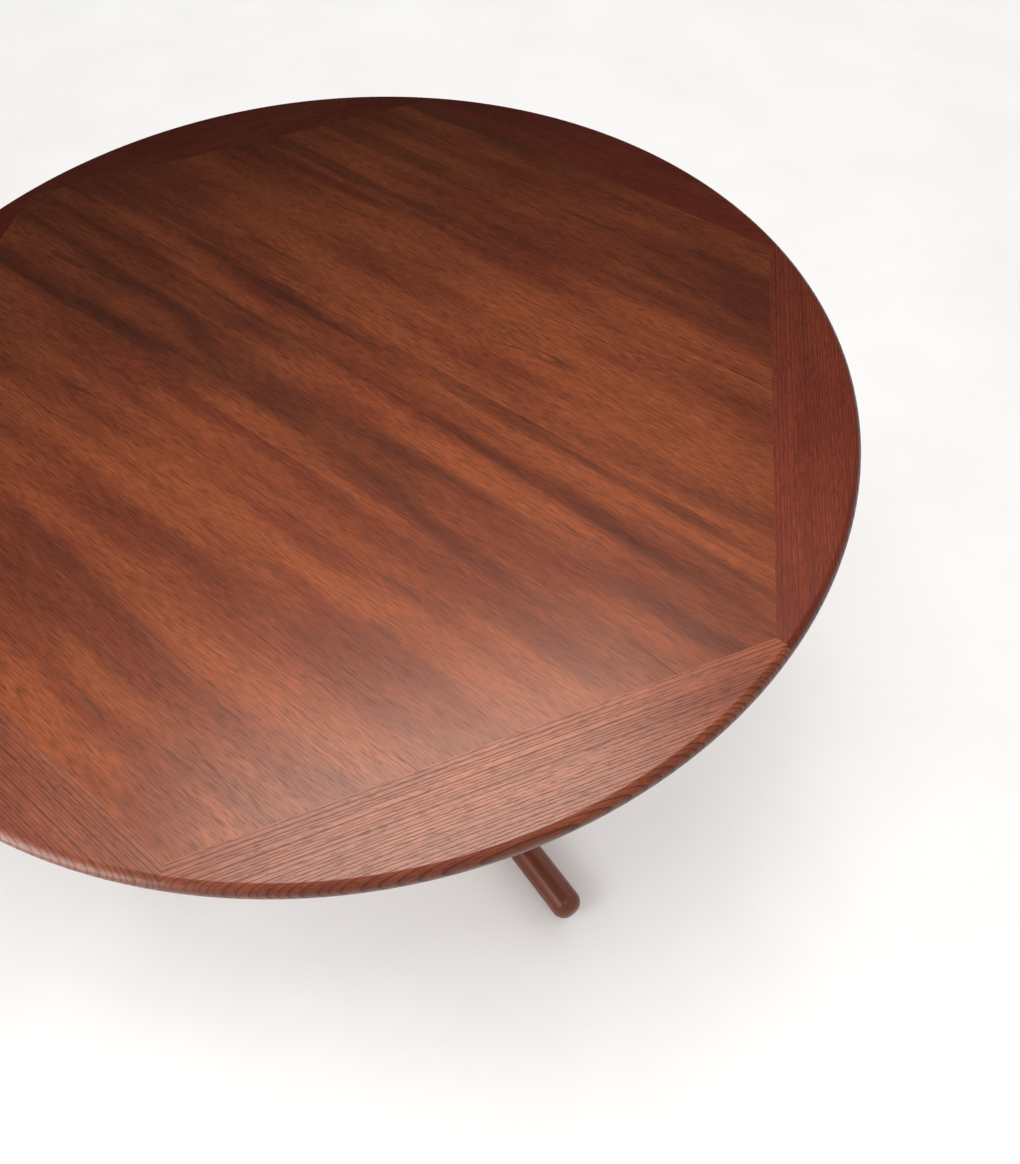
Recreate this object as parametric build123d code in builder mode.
from build123d import *
from math import cos, hypot, radians, sin, sqrt
import os

# Round dining table on a pedestal. The top is a hexagonal board, veneered on both faces and
# framed by six solid segments that make it round. A hub with four arms carries it, a turned
# column stands under the hub, and four round foot bars run out along the floor, each on a
# levelling foot that screws in and out.
# Millimetres, +Z up, origin on the floor under the middle. The feet lie along X and Y.

# Overall
top_diameter = 1100
table_height = 740
top_thickness = 24
foot_span = 935               # tip to tip across a pair of foot bars

# Top
corner_land = 17.5            # rim left outside each corner of the hexagon
top_turn = 15                 # degrees from a foot's direction to a corner of the hexagon
veneer_thickness = 0.7
leaf_count = 5
leaf_shift = -18              # the laid-up leaves are trimmed off centre, across the grain
edge_arris = 8.5              # the flat faces stop this far inside the outermost line
arris_radius = 2.5
tongue_length = 440
tongue_width = 24
tongue_thickness = 6

# Hub and arms under the top
arm_reach = 370
arm_shoulder = 66             # from the axis to where an arm butts against the hub
arm_width = 60
arm_depth = 36
arm_taper_start = 280
arm_tip_depth = 20
arm_tenon_length = 34
arm_tenon_width = 40
arm_tenon_thickness = 18
arm_edge_radius = 4
arm_under_radius = 3          # along the lower edges
arm_web = 18                  # wood left between a screw's recess and the top
upper_hub_height = 42
hub_land = 4                  # hub beside an arm or a foot bar
hub_edge_radius = 5

# Column
column_end_radius = 46
column_waist_radius = 39
column_edge_radius = 3
spigot_radius = 25
upper_spigot = 18
lower_spigot = 24

# Foot bars and their hub
bar_diameter = 45
bar_end_radius = 18
bar_shoulder = 60             # from the axis to where a bar butts against the hub
bar_tenon_diameter = 28
bar_tenon_length = 40
socket_web = 5                # wood between the bar tenons and the column's socket

# Pins through the tenons
pin_diameter = 8
pin_length = 36
arm_pin_inset = 18            # from the hub's flat to a pin
bar_pin_inset = 18

# M10 tie rod through the column, with a nut and a washer at each end
rod_diameter = 10
rod_hole_diameter = 12
rod_nut_width = 16
rod_nut_height = 8
rod_washer_diameter = 26
rod_washer_thickness = 2.5
rod_recess_diameter = 28
rod_recess_depth = 13
rod_end = 1.5                 # rod standing out of each nut

# M6 screws from the arms into threaded inserts in the board
screw_diameter = 6
screw_length = 28
screw_head_diameter = 10
screw_head_height = 6
screw_key_width = 5
screw_key_depth = 3
screw_hole_diameter = 7
screw_recess_diameter = 14
screw_washer_diameter = 12
screw_washer_thickness = 1.6
screw_circles = (160, 310)    # radii on which the screws stand
insert_diameter = 9
insert_length = 12

# M8 levelling feet
pad_diameter = 24
pad_thickness = 8
pad_edge_chamfer = 1
pad_boss_diameter = 14
pad_boss_height = 2
pad_inset = 34                # from a bar's tip to its levelling foot
stem_diameter = 8
stem_length = 24
stem_socket = 5               # stem held in the pad
bush_diameter = 12
bush_length = 18
bush_flange_diameter = 21
bush_flange_thickness = 1.5
spot_face_diameter = 26
stem_hole_spare = 4           # hole left above the stem when it is screwed right in

# Clearances
glue_gap = 0.1
thread_gap = 0.1              # threads are drawn as plain cylinders
end_gap = 1                   # at the blind end of every joint
pad_gap = 0.3                 # between a pad and its bush, screwed right in

# Levels and radii that follow
top_radius = top_diameter / 2
field_corner_radius = top_radius - corner_land
field_apothem = field_corner_radius * cos(radians(30))
underside = table_height - top_thickness
core_bottom = underside + veneer_thickness
core_thickness = top_thickness - 2 * veneer_thickness
middle_plane = table_height - top_thickness / 2

bar_radius = bar_diameter / 2
bar_tip = foot_span / 2
flat_to_axis = sqrt(bar_radius**2 - (spot_face_diameter / 2) ** 2)
spot_face_level = pad_thickness + pad_boss_height + pad_gap + bush_flange_thickness
bar_axis_height = spot_face_level + flat_to_axis
pad_place = bar_tip - pad_inset

lower_hub_bottom = bar_axis_height - bar_radius
lower_socket_floor = bar_axis_height + bar_tenon_diameter / 2 + socket_web
lower_hub_top = lower_socket_floor + lower_spigot + end_gap
lower_hub_radius = hypot(bar_shoulder, bar_radius + hub_land)

upper_hub_bottom = underside - upper_hub_height
upper_hub_radius = hypot(arm_shoulder, arm_width / 2 + hub_land)

quarters = (0, 90, 180, 270)
sixths = (0, 60, 120, 180, 240, 300)

os.makedirs("parts", exist_ok=True)


def outwards(angle):
    return Vector(cos(radians(angle)), sin(radians(angle)), 0)


def upright_plane(angle, height=0, out=0):
    """Plane through the table's axis: x outwards at this angle, y up."""
    direction = outwards(angle)
    start = direction * out + Vector(0, 0, height)
    return Plane(origin=start, x_dir=direction, z_dir=direction.cross(Vector(0, 0, 1)))


def facing_plane(angle, height, out):
    """Plane across a radius: x sideways, y up, normal outwards."""
    direction = outwards(angle)
    start = direction * out + Vector(0, 0, height)
    return Plane(origin=start, x_dir=Vector(0, 0, 1).cross(direction), z_dir=direction)


def top_plane(height):
    """Level plane turned with the top: x runs along the grain of the field."""
    return Plane.XY.offset(height).rotated((0, 0, top_turn))


def chord_plane(angle):
    """Level plane on the middle of one side of the hexagon: x outwards."""
    return Plane(origin=outwards(angle) * field_apothem + Vector(0, 0, middle_plane),
                 x_dir=outwards(angle), z_dir=(0, 0, 1))


# --- Top -----------------------------------------------------------------------------------

# Core: a hexagonal board, grooved along its six edges and bored for the inserts.
with BuildPart() as core_board:
    with BuildSketch(top_plane(core_bottom)):
        RegularPolygon(field_corner_radius, 6)
    extrude(amount=core_thickness)
    for sixth in sixths:
        with BuildSketch(chord_plane(top_turn + 30 + sixth)):
            Rectangle(tongue_width + 2 * end_gap, tongue_length + 2 * end_gap)
        extrude(amount=tongue_thickness / 2 + glue_gap, both=True, mode=Mode.SUBTRACT)
    with BuildSketch(Plane.XY.offset(underside)):
        for circle in screw_circles:
            with PolarLocations(circle, 4):
                Circle(insert_diameter / 2 + thread_gap)
    extrude(amount=insert_length + end_gap, mode=Mode.SUBTRACT)
core_board.part.label = "core_board"
export_step(core_board.part, "parts/core_board.step")

# Field veneer: strips laid side by side across the grain and trimmed to the hexagon.
leaf_width = 2 * field_apothem / leaf_count
for number in range(leaf_count):
    first = number == 0
    last = number == leaf_count - 1
    leaf_start = -field_apothem if first else -field_apothem + number * leaf_width + leaf_shift
    leaf_end = field_apothem if last else -field_apothem + (number + 1) * leaf_width + leaf_shift
    with BuildPart() as field_leaf:
        with BuildSketch(top_plane(core_bottom + core_thickness)):
            RegularPolygon(field_corner_radius, 6)
            with Locations((0, (leaf_start + leaf_end) / 2)):
                Rectangle(top_diameter, leaf_end - leaf_start, mode=Mode.INTERSECT)
        extrude(amount=veneer_thickness)
    field_leaf.part.label = f"field_leaf_{number + 1}"
    export_step(field_leaf.part, f"parts/field_leaf_{number + 1}.step")

# Backing veneer: one sheet on the underside, which keeps the board flat.
with BuildPart() as backing_veneer:
    with BuildSketch(top_plane(underside)):
        RegularPolygon(field_corner_radius, 6)
        for circle in screw_circles:
            with PolarLocations(circle, 4, start_angle=-top_turn):
                Circle(insert_diameter / 2 + thread_gap, mode=Mode.SUBTRACT)
    extrude(amount=veneer_thickness)
backing_veneer.part.label = "backing_veneer"
export_step(backing_veneer.part, "parts/backing_veneer.step")

# Rim: six solid segments, straight against the hexagon and bull-nosed outside. They meet on
# short mitres that run out from the hexagon's corners.
for number, sixth in enumerate(sixths, 1):
    with BuildPart() as rim_segment:
        with BuildSketch(upright_plane(top_turn + sixth, underside)) as edge_section:
            with BuildLine():
                inner = field_apothem - edge_arris
                flat_end = top_radius - edge_arris
                Polyline((flat_end, 0), (inner, 0), (inner, top_thickness),
                         (flat_end, top_thickness))
                ThreePointArc((flat_end, top_thickness), (top_radius, top_thickness / 2),
                              (flat_end, 0))
            make_face()
            fillet(edge_section.vertices().sort_by(Axis.X)[-2:], arris_radius)
        revolve(axis=Axis.Z, revolution_arc=60)
        with BuildSketch(top_plane(underside)):
            RegularPolygon(field_corner_radius, 6)
        extrude(amount=top_thickness, mode=Mode.SUBTRACT)
        with BuildSketch(chord_plane(top_turn + 30 + sixth)):
            Rectangle(tongue_width + 2 * end_gap, tongue_length + 2 * end_gap)
        extrude(amount=tongue_thickness / 2 + glue_gap, both=True, mode=Mode.SUBTRACT)
    rim_segment.part.label = f"rim_segment_{number}"
    export_step(rim_segment.part, f"parts/rim_segment_{number}.step")

# Loose tongues: one glued into each joint between the board and the rim.
with BuildPart() as rim_tongues:
    for sixth in sixths:
        with BuildSketch(chord_plane(top_turn + 30 + sixth)):
            Rectangle(tongue_width, tongue_length)
        extrude(amount=tongue_thickness / 2, both=True)
rim_tongues.part.label = "rim_tongues"
export_step(rim_tongues.part, "parts/rim_tongues.step")

# Threaded inserts, flush with the underside.
with BuildPart() as top_inserts:
    with BuildSketch(Plane.XY.offset(underside)):
        for circle in screw_circles:
            with PolarLocations(circle, 4):
                Circle(insert_diameter / 2)
                Circle(screw_diameter / 2 + thread_gap, mode=Mode.SUBTRACT)
    extrude(amount=insert_length)
top_inserts.part.label = "top_inserts"
export_step(top_inserts.part, "parts/top_inserts.step")

# --- Hub and arms under the top --------------------------------------------------------------

arm_middle = underside - arm_depth / 2
screw_seat = underside - arm_web

# Hub: a turned block with four flats and four mortises. A socket underneath takes the column
# and a recess on top takes the tie rod's nut.
with BuildPart() as upper_hub:
    with BuildSketch(Plane.XY.offset(upper_hub_bottom)):
        Circle(upper_hub_radius)
        Rectangle(2 * arm_shoulder, 2 * arm_shoulder, mode=Mode.INTERSECT)
    extrude(amount=upper_hub_height)
    fillet(upper_hub.edges().group_by(Axis.Z)[0], hub_edge_radius)
    for quarter in quarters:
        with BuildSketch(facing_plane(quarter, arm_middle, arm_shoulder)):
            Rectangle(arm_tenon_width + 2 * glue_gap, arm_tenon_thickness + 2 * glue_gap)
        extrude(amount=-arm_tenon_length - end_gap, mode=Mode.SUBTRACT)
    with BuildSketch(Plane.XY.offset(upper_hub_bottom)):
        Circle(spigot_radius + glue_gap)
    extrude(amount=upper_spigot + end_gap, mode=Mode.SUBTRACT)
    with Locations(Plane.XY.offset(underside)):
        CounterBoreHole(rod_hole_diameter / 2, rod_recess_diameter / 2, rod_recess_depth)
    with BuildSketch(Plane.XY.offset(upper_hub_bottom)):
        with PolarLocations(arm_shoulder - arm_pin_inset, 4):
            Circle(pin_diameter / 2 + glue_gap)
    extrude(amount=pin_length, mode=Mode.SUBTRACT)
upper_hub.part.label = "upper_hub"
export_step(upper_hub.part, "parts/upper_hub.step")

# Arms: flat on top, tapered underneath towards the tip, with a tenon into the hub. The tip and
# the lower edges are rounded, apart from the two edges that cross the arm underneath.
for number, quarter in enumerate(quarters, 1):
    with BuildPart() as arm:
        with BuildSketch(upright_plane(quarter, underside)):
            with BuildLine():
                Polyline((arm_shoulder, 0), (arm_reach, 0), (arm_reach, -arm_tip_depth),
                         (arm_taper_start, -arm_depth), (arm_shoulder, -arm_depth), close=True)
            make_face()
        extrude(amount=arm_width / 2, both=True)
        tip_edges = arm.edges().filter_by(Axis.Z).sort_by(Axis((0, 0, 0), outwards(quarter)))
        fillet(tip_edges[-2:], arm_edge_radius)
        under_faces = arm.faces().filter_by(lambda face: face.normal_at().Z < -0.5)
        under_edges = under_faces.edges().filter_by(
            lambda edge: abs((edge % 0.5).dot(outwards(quarter))) > 0.5
            or edge.center().dot(outwards(quarter)) > arm_reach - 2 * arm_edge_radius)
        fillet(under_edges, arm_under_radius)
        with BuildSketch(facing_plane(quarter, arm_middle, arm_shoulder)):
            Rectangle(arm_tenon_width, arm_tenon_thickness)
        extrude(amount=-arm_tenon_length)
        for circle in screw_circles:
            with Locations(Plane(origin=outwards(quarter) * circle + Vector(0, 0, screw_seat),
                                 z_dir=(0, 0, -1))):
                CounterBoreHole(screw_hole_diameter / 2, screw_recess_diameter / 2, 0)
        pin_place = outwards(quarter) * (arm_shoulder - arm_pin_inset)
        with BuildSketch(Plane(origin=pin_place + Vector(0, 0, upper_hub_bottom))):
            Circle(pin_diameter / 2 + glue_gap)
        extrude(amount=pin_length, mode=Mode.SUBTRACT)
    arm.part.label = f"arm_{number}"
    export_step(arm.part, f"parts/arm_{number}.step")

# Pins: driven up through the hub and each arm's tenon.
with BuildPart() as arm_pins:
    with BuildSketch(Plane.XY.offset(upper_hub_bottom)):
        with PolarLocations(arm_shoulder - arm_pin_inset, 4):
            Circle(pin_diameter / 2)
    extrude(amount=pin_length)
arm_pins.part.label = "arm_pins"
export_step(arm_pins.part, "parts/arm_pins.step")

# Screws: socket heads down, seated in the arms' recesses on their washers.
head_seat = screw_seat - screw_washer_thickness
with BuildPart() as arm_screws:
    for circle in screw_circles:
        with BuildSketch(Plane.XY.offset(head_seat)):
            with PolarLocations(circle, 4):
                Circle(screw_diameter / 2)
        extrude(amount=screw_length)
        with BuildSketch(Plane.XY.offset(head_seat - screw_head_height)):
            with PolarLocations(circle, 4):
                Circle(screw_head_diameter / 2)
        extrude(amount=screw_head_height)
        with BuildSketch(Plane.XY.offset(head_seat - screw_head_height)):
            with PolarLocations(circle, 4):
                RegularPolygon(screw_key_width / 2, 6, major_radius=False)
        extrude(amount=screw_key_depth, mode=Mode.SUBTRACT)
arm_screws.part.label = "arm_screws"
export_step(arm_screws.part, "parts/arm_screws.step")

with BuildPart() as arm_washers:
    with BuildSketch(Plane.XY.offset(head_seat)):
        for circle in screw_circles:
            with PolarLocations(circle, 4):
                Circle(screw_washer_diameter / 2)
                Circle(screw_diameter / 2 + thread_gap, mode=Mode.SUBTRACT)
    extrude(amount=screw_washer_thickness)
arm_washers.part.label = "arm_washers"
export_step(arm_washers.part, "parts/arm_washers.step")

# --- Column ------------------------------------------------------------------------------------

# Turned, slightly waisted, with a spigot at each end and bored through for the tie rod.
with BuildPart() as column:
    with BuildSketch(Plane.XZ) as column_section:
        with BuildLine():
            column_middle = (lower_hub_top + upper_hub_bottom) / 2
            Polyline((column_end_radius, lower_hub_top), (spigot_radius, lower_hub_top),
                     (spigot_radius, lower_hub_top - lower_spigot),
                     (rod_hole_diameter / 2, lower_hub_top - lower_spigot),
                     (rod_hole_diameter / 2, upper_hub_bottom + upper_spigot),
                     (spigot_radius, upper_hub_bottom + upper_spigot),
                     (spigot_radius, upper_hub_bottom), (column_end_radius, upper_hub_bottom))
            ThreePointArc((column_end_radius, upper_hub_bottom),
                          (column_waist_radius, column_middle),
                          (column_end_radius, lower_hub_top))
        make_face()
        fillet(column_section.vertices().sort_by(Axis.X)[-2:], column_edge_radius)
    revolve(axis=Axis.Z)
column.part.label = "column"
export_step(column.part, "parts/column.step")

# --- Foot bars and their hub ------------------------------------------------------------------

# Hub: a turned block with four flats and four round mortises, a socket on top for the column
# and a recess underneath for the tie rod's nut.
with BuildPart() as lower_hub:
    with BuildSketch(Plane.XY.offset(lower_hub_bottom)):
        Circle(lower_hub_radius)
        Rectangle(2 * bar_shoulder, 2 * bar_shoulder, mode=Mode.INTERSECT)
    extrude(amount=lower_hub_top - lower_hub_bottom)
    fillet(lower_hub.edges().group_by(Axis.Z)[-1], hub_edge_radius)
    for quarter in quarters:
        with BuildSketch(facing_plane(quarter, bar_axis_height, bar_shoulder)):
            Circle(bar_tenon_diameter / 2 + glue_gap)
        extrude(amount=-bar_tenon_length - end_gap, mode=Mode.SUBTRACT)
    with BuildSketch(Plane.XY.offset(lower_hub_top)):
        Circle(spigot_radius + glue_gap)
    extrude(amount=-lower_spigot - end_gap, mode=Mode.SUBTRACT)
    with Locations(Plane(origin=(0, 0, lower_hub_bottom), z_dir=(0, 0, -1))):
        CounterBoreHole(rod_hole_diameter / 2, rod_recess_diameter / 2, rod_recess_depth)
    with BuildSketch(Plane.XY.offset(lower_hub_bottom)):
        with PolarLocations(bar_shoulder - bar_pin_inset, 4):
            Circle(pin_diameter / 2 + glue_gap)
    extrude(amount=pin_length, mode=Mode.SUBTRACT)
lower_hub.part.label = "lower_hub"
export_step(lower_hub.part, "parts/lower_hub.step")

# Foot bars: round, with a turned tenon into the hub and a rounded tip. A flat is spot-faced
# underneath near the tip and bored for the levelling foot's bush.
for number, quarter in enumerate(quarters, 1):
    with BuildPart() as foot_bar:
        with BuildSketch(upright_plane(quarter, bar_axis_height)):
            with BuildLine():
                Polyline((bar_shoulder - bar_tenon_length, 0),
                         (bar_shoulder - bar_tenon_length, bar_tenon_diameter / 2),
                         (bar_shoulder, bar_tenon_diameter / 2), (bar_shoulder, bar_radius),
                         (bar_tip, bar_radius), (bar_tip, 0), close=True)
            make_face()
        revolve(axis=Axis((0, 0, bar_axis_height), outwards(quarter)))
        tip_edge = foot_bar.edges().sort_by(Axis((0, 0, 0), outwards(quarter)))[-1]
        fillet(tip_edge, bar_end_radius)
        foot_place = outwards(quarter) * pad_place
        with BuildSketch(Plane(origin=foot_place)):
            Circle(spot_face_diameter / 2)
        extrude(amount=spot_face_level, mode=Mode.SUBTRACT)
        with BuildSketch(Plane(origin=foot_place + Vector(0, 0, spot_face_level))):
            Circle(bush_diameter / 2 + thread_gap)
        extrude(amount=bush_length + stem_hole_spare, mode=Mode.SUBTRACT)
        pin_place = outwards(quarter) * (bar_shoulder - bar_pin_inset)
        with BuildSketch(Plane(origin=pin_place)):
            Circle(pin_diameter / 2 + glue_gap)
        extrude(amount=lower_hub_bottom + pin_length, mode=Mode.SUBTRACT)
    foot_bar.part.label = f"foot_bar_{number}"
    export_step(foot_bar.part, f"parts/foot_bar_{number}.step")

with BuildPart() as bar_pins:
    with BuildSketch(Plane.XY.offset(lower_hub_bottom)):
        with PolarLocations(bar_shoulder - bar_pin_inset, 4):
            Circle(pin_diameter / 2)
    extrude(amount=pin_length)
bar_pins.part.label = "bar_pins"
export_step(bar_pins.part, "parts/bar_pins.step")

# --- Tie rod -------------------------------------------------------------------------------------

lower_washer_top = lower_hub_bottom + rod_recess_depth
upper_washer_bottom = underside - rod_recess_depth
rod_stack = rod_washer_thickness + rod_nut_height

with BuildPart() as tie_rod:
    rod_bottom = lower_washer_top - rod_stack - rod_end
    rod_top = upper_washer_bottom + rod_stack + rod_end
    with BuildSketch(Plane.XY.offset(rod_bottom)):
        Circle(rod_diameter / 2)
    extrude(amount=rod_top - rod_bottom)
    chamfer(tie_rod.edges().filter_by(GeomType.CIRCLE), rod_end / 2)
tie_rod.part.label = "tie_rod"
export_step(tie_rod.part, "parts/tie_rod.step")

with BuildPart() as tie_washers:
    with BuildSketch(Plane.XY.offset(lower_washer_top - rod_washer_thickness),
                     Plane.XY.offset(upper_washer_bottom)):
        Circle(rod_washer_diameter / 2)
        Circle(rod_diameter / 2 + thread_gap, mode=Mode.SUBTRACT)
    extrude(amount=rod_washer_thickness, dir=(0, 0, 1))
tie_washers.part.label = "tie_washers"
export_step(tie_washers.part, "parts/tie_washers.step")

with BuildPart() as tie_nuts:
    with BuildSketch(Plane.XY.offset(lower_washer_top - rod_stack),
                     Plane.XY.offset(upper_washer_bottom + rod_washer_thickness)):
        RegularPolygon(rod_nut_width / 2, 6, major_radius=False)
        Circle(rod_diameter / 2 + thread_gap, mode=Mode.SUBTRACT)
    extrude(amount=rod_nut_height, dir=(0, 0, 1))
tie_nuts.part.label = "tie_nuts"
export_step(tie_nuts.part, "parts/tie_nuts.step")

# --- Levelling feet --------------------------------------------------------------------------

# Bushes: threaded, pressed into the bars up to their flanges.
with BuildPart() as foot_bushes:
    with BuildSketch(Plane.XY.offset(spot_face_level)):
        with PolarLocations(pad_place, 4):
            Circle(bush_diameter / 2)
    extrude(amount=bush_length)
    with BuildSketch(Plane.XY.offset(spot_face_level)):
        with PolarLocations(pad_place, 4):
            Circle(bush_flange_diameter / 2)
    extrude(amount=-bush_flange_thickness)
    with BuildSketch(Plane.XY.offset(spot_face_level - bush_flange_thickness)):
        with PolarLocations(pad_place, 4):
            Circle(stem_diameter / 2 + thread_gap)
    extrude(amount=bush_flange_thickness + bush_length, mode=Mode.SUBTRACT)
foot_bushes.part.label = "foot_bushes"
export_step(foot_bushes.part, "parts/foot_bushes.step")

# Pads with a raised boss, and threaded stems moulded into them. They are drawn screwed right in.
for number, quarter in enumerate(quarters, 1):
    foot_place = outwards(quarter) * pad_place
    stem_bottom = pad_thickness + pad_boss_height - stem_socket
    with BuildPart() as pad:
        with BuildSketch(Plane(origin=foot_place)):
            Circle(pad_diameter / 2)
        extrude(amount=pad_thickness)
        chamfer(pad.edges().filter_by(GeomType.CIRCLE), pad_edge_chamfer)
        with BuildSketch(Plane(origin=foot_place + Vector(0, 0, pad_thickness))):
            Circle(pad_boss_diameter / 2)
        extrude(amount=pad_boss_height)
        with BuildSketch(Plane(origin=foot_place + Vector(0, 0, stem_bottom))):
            Circle(stem_diameter / 2)
        extrude(amount=stem_socket, mode=Mode.SUBTRACT)
    pad.part.label = f"pad_{number}"
    export_step(pad.part, f"parts/pad_{number}.step")

    with BuildPart() as stem:
        with BuildSketch(Plane(origin=foot_place + Vector(0, 0, stem_bottom))):
            Circle(stem_diameter / 2)
        extrude(amount=stem_length)
        chamfer(stem.edges().filter_by(GeomType.CIRCLE).sort_by(Axis.Z)[-1], pad_edge_chamfer)
    stem.part.label = f"stem_{number}"
    export_step(stem.part, f"parts/stem_{number}.step")
